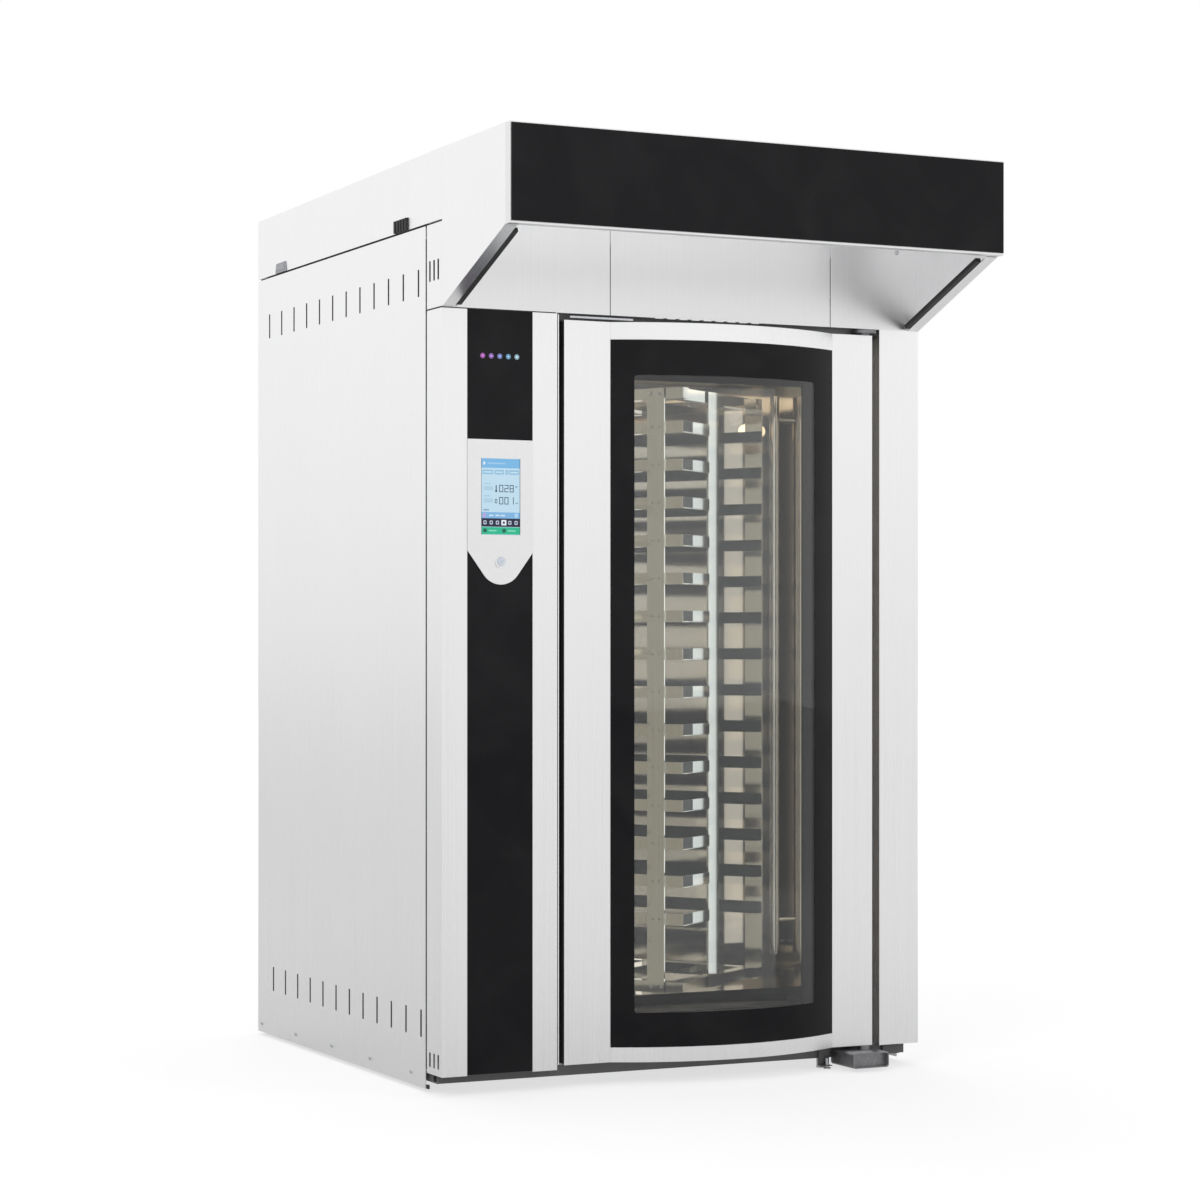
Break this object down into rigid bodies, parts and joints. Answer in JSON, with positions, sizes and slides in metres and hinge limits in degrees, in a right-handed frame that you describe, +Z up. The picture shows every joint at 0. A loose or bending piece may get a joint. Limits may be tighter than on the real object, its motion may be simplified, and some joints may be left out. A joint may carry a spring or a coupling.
{
  "type": "rotating rack oven",
  "caption": "Tall stainless rack oven with a curved glass door, a touch control column, a steam hood and a turning tray rack in an insulated chamber.",
  "frame": {"origin": "on the floor, under the middle of the whole outline with the hood", "axes": "+Z up, -Y out of the front where the door and the hood are, +X to the right seen from the front"},
  "size_m": [1.3, 1.6, 2.2],
  "materials": {
    "outer_steel": "fine vertical satin",
    "hood_steel": "satin",
    "chamber_steel": "bright, heat tinted",
    "rack_steel": "satin",
    "hinge_steel": "blasted",
    "galvanised": "dull zinc",
    "zinc_steel": "bright zinc",
    "element_steel": "oxidised",
    "dark_paint": "satin",
    "grey_paint": "satin",
    "blue_paint": "semi gloss",
    "cast_grey": "machined",
    "brass_fitting": "turned",
    "black_glass": "gloss",
    "bezel_silver": "satin",
    "screen": "gloss",
    "button_blue": "gloss",
    "black_rubber": "matt",
    "grip_grey": "satin",
    "mineral_wool": "fibrous",
    "lamp_glass": "frosted",
    "door_glass": "tinted",
    "clear_glass": "clear"
  },
  "bodies": {
    "casing": {"levelling_feet": "zinc_steel", "base_rails": "dark_paint", "base_pan": "galvanised", "frame_posts": "galvanised", "left_side_panel": "outer_steel", "right_side_panel": "outer_steel", "rear_panel": "outer_steel", "oven_roof": "galvanised", "corner_panels": "outer_steel", "crown_panels": "outer_steel", "service_connections": "brass_fitting", "control_strips": "outer_steel", "control_mount_plate": "galvanised", "control_glass": "black_glass", "control_bezel": "bezel_silver", "touch_screen": "screen", "button_housing": "bezel_silver", "electrics_box": "grey_paint", "right_front_post": "outer_steel", "hood_back_panels": "hood_steel", "hood_sides": "outer_steel", "hood_seal_strips": "black_rubber", "hood_top": "outer_steel", "fascia_frame": "hood_steel", "fascia_glass": "black_glass", "hood_fan_housing": "galvanised", "chamber_floor": "chamber_steel", "chamber_ceiling": "chamber_steel", "chamber_walls": "chamber_steel", "air_panel": "chamber_steel", "mouth_frame": "chamber_steel", "insulation_slabs": "mineral_wool", "heating_elements": "element_steel", "steam_pipe": "chamber_steel", "chamber_lamp": "lamp_glass", "vent_duct": "galvanised", "damper_actuator": "grey_paint", "fan_motor": "grey_paint", "gearmotor": "blue_paint", "drive_belt": "black_rubber", "rack_bearings": "cast_grey", "lower_hinge_arm": "hinge_steel", "upper_hinge_bracket": "hinge_steel"},
    "door": {"door_stiles": "outer_steel", "door_rails": "outer_steel", "door_outer_glass": "door_glass", "door_inner_glass": "clear_glass", "door_liner": "chamber_steel", "door_seal": "black_rubber", "door_grip": "grip_grey"},
    "rack": {"drive_shaft": "zinc_steel", "rack_base": "rack_steel", "rack_top": "rack_steel", "rack_uprights": "rack_steel", "rack_rails": "rack_steel"},
    "motor_drive": {"motor_pulley": "cast_grey"},
    "chamber_fan": {"fan_wheel": "zinc_steel"},
    "hood_fan": {"hood_fan_wheel": "zinc_steel"},
    "damper": {"damper_flap": "zinc_steel"},
    "button": {"start_button": "button_blue"}
  },
  "joints": [
    {"name": "door_hinge", "type": "hinge", "parent": "casing", "child": "door", "pos_m": [0.499, -0.4165, 1], "axis": [0, 0, 1], "range_deg": [0, 120]},
    {"name": "rack_spin", "type": "hinge", "parent": "casing", "child": "rack", "pos_m": [0.097, 0.123, 1], "axis": [0, 0, 1], "continuous": true},
    {"name": "motor_spin", "type": "hinge", "parent": "casing", "child": "motor_drive", "pos_m": [0.387, 0.123, 2.12], "axis": [0, 0, 1], "continuous": true},
    {"name": "chamber_fan_spin", "type": "hinge", "parent": "casing", "child": "chamber_fan", "pos_m": [-0.443, 0.123, 1.8], "axis": [0, 0, 1], "continuous": true},
    {"name": "hood_fan_spin", "type": "hinge", "parent": "casing", "child": "hood_fan", "pos_m": [0.094, -0.37, 2.077], "axis": [0, 1, 0], "continuous": true},
    {"name": "damper_turn", "type": "hinge", "parent": "casing", "child": "damper", "pos_m": [0.33, 0.48, 2.083], "axis": [1, 0, 0], "range_deg": [0, 90]},
    {"name": "button_press", "type": "slide", "parent": "casing", "child": "button", "axis": [0, 1, 0], "range_m": [0, 0.003], "stiffness_N_per_m": 600}
  ],
  "couplings": [
    {"joint": "motor_spin", "follows": "rack_spin", "ratio": 3.3333}
  ]
}
